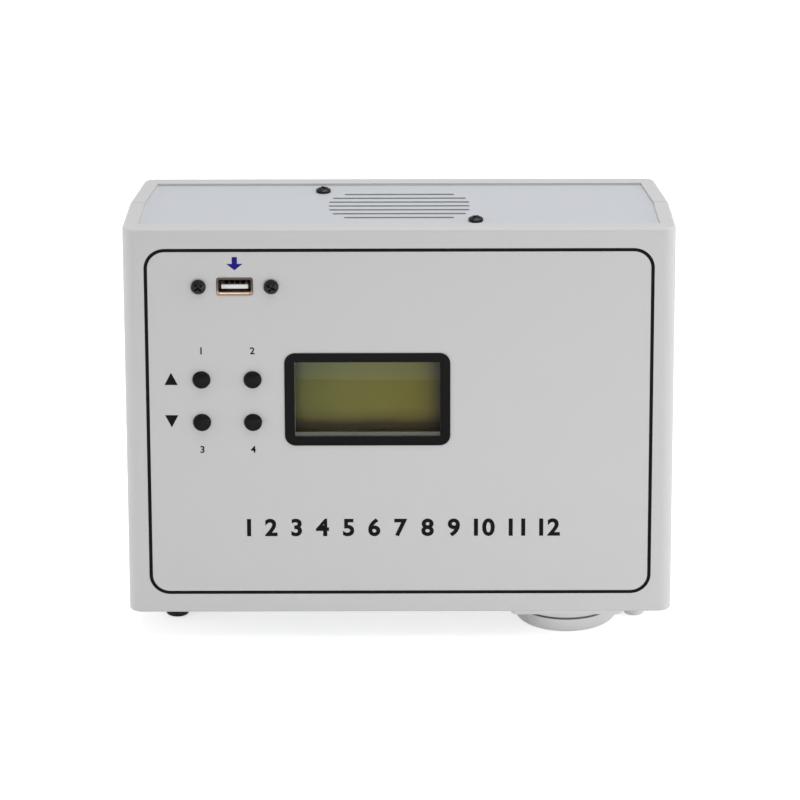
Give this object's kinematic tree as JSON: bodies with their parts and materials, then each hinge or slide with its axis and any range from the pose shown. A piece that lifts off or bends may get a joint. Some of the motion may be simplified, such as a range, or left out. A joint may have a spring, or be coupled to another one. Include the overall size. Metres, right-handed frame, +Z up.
{
  "type": "azan clock",
  "caption": "Programmable prayer-call clock in a light grey plastic case with a display, push buttons, a USB socket, a speaker grille on top and a lidded mains outlet underneath.",
  "frame": {"origin": "on the surface that the clock stands on, under the middle of its bounding box", "axes": "+X to the right as seen from the front, +Y from the front face to the back, +Z up"},
  "size_m": [0.2278, 0.0636, 0.1865],
  "materials": {
    "case_plastic": "light grey moulded plastic with a fine even texture",
    "outlet_plastic": "light grey moulded plastic",
    "lid_plastic": "light grey moulded plastic, a shade darker",
    "grey_gland": "light grey moulded plastic",
    "black_plastic": "black moulded plastic, satin",
    "button_plastic": "black moulded plastic, satin",
    "white_plastic": "white moulded plastic",
    "relay_plastic": "blue moulded plastic",
    "terminal_plastic": "green moulded plastic",
    "clear_acrylic": "clear polished acrylic",
    "display_glass": "unlit yellow-green liquid crystal cell behind glass",
    "green_board": "green solder mask",
    "black_steel": "black painted sheet steel",
    "black_screws": "blackened steel, satin",
    "zinc_steel": "zinc plated steel",
    "nickel_steel": "nickel plated steel",
    "core_steel": "varnished laminated steel",
    "contact_brass": "bare brass",
    "sink_aluminium": "extruded aluminium",
    "winding_tape": "yellow insulating tape",
    "cone_paper": "black paper cone",
    "ferrite": "black ferrite with steel plates",
    "black_rubber": "black rubber"
  },
  "bodies": {
    "case": {"front_shell": "case_plastic", "rear_shell": "case_plastic", "top_panel": "case_plastic", "bottom_panel": "case_plastic", "case_screws": "zinc_steel", "window_bezel": "black_plastic", "window_lens": "clear_acrylic", "lcd_frame": "black_steel", "lcd_glass": "display_glass", "lcd_backlight": "white_plastic", "lcd_board": "green_board", "key_switches": "black_plastic", "key_board": "green_board", "usb_shell": "nickel_steel", "usb_tongue": "white_plastic", "usb_contacts": "contact_brass", "usb_carrier": "black_plastic", "usb_screws": "black_screws", "speaker_frame": "zinc_steel", "speaker_cone": "cone_paper", "speaker_magnet": "ferrite", "speaker_screws": "black_screws", "m3_nuts": "zinc_steel", "main_board": "green_board", "board_screws": "zinc_steel", "processor": "black_plastic", "amplifier": "sink_aluminium", "relay": "relay_plastic", "terminal_blocks": "terminal_plastic", "capacitors": "black_plastic", "coin_cell_holder": "black_plastic", "coin_cell": "nickel_steel", "fuse_holder": "black_plastic", "transformer_core": "core_steel", "transformer_coil": "winding_tape", "transformer_strap": "zinc_steel", "transformer_screws": "zinc_steel", "outlet_flange": "outlet_plastic", "outlet_insert": "outlet_plastic", "outlet_contacts": "contact_brass", "earth_clips": "nickel_steel", "lid_seal": "black_rubber", "hinge_pin": "nickel_steel", "lid_spring": "nickel_steel", "outlet_screws": "zinc_steel", "mains_gland_body": "grey_gland", "mains_gland_cap": "grey_gland", "audio_gland_body": "black_plastic", "audio_gland_cap": "black_plastic", "gland_seals": "black_rubber", "gland_nuts": "black_plastic"},
    "button_1": {"button_1": "button_plastic", "switch_plunger_1": "black_plastic"},
    "button_2": {"button_2": "button_plastic", "switch_plunger_2": "black_plastic"},
    "button_3": {"button_3": "button_plastic", "switch_plunger_3": "black_plastic"},
    "button_4": {"button_4": "button_plastic", "switch_plunger_4": "black_plastic"},
    "lid": {"outlet_lid": "lid_plastic"}
  },
  "joints": [
    {"name": "button_1_press", "type": "slide", "parent": "case", "child": "button_1", "axis": [0, 1, 0], "range_m": [0, 0.0008], "stiffness_N_per_m": 1200, "springref_m": -0.0008},
    {"name": "button_2_press", "type": "slide", "parent": "case", "child": "button_2", "axis": [0, 1, 0], "range_m": [0, 0.0008], "stiffness_N_per_m": 1200, "springref_m": -0.0008},
    {"name": "button_3_press", "type": "slide", "parent": "case", "child": "button_3", "axis": [0, 1, 0], "range_m": [0, 0.0008], "stiffness_N_per_m": 1200, "springref_m": -0.0008},
    {"name": "button_4_press", "type": "slide", "parent": "case", "child": "button_4", "axis": [0, 1, 0], "range_m": [0, 0.0008], "stiffness_N_per_m": 1200, "springref_m": -0.0008},
    {"name": "lid_hinge", "type": "hinge", "parent": "case", "child": "lid", "pos_m": [0.07039, 0.0252, 0.006], "axis": [1, 0, 0], "range_deg": [0, 90], "stiffness_Nm_per_rad": 0.03, "springref_deg": -57.3}
  ]
}
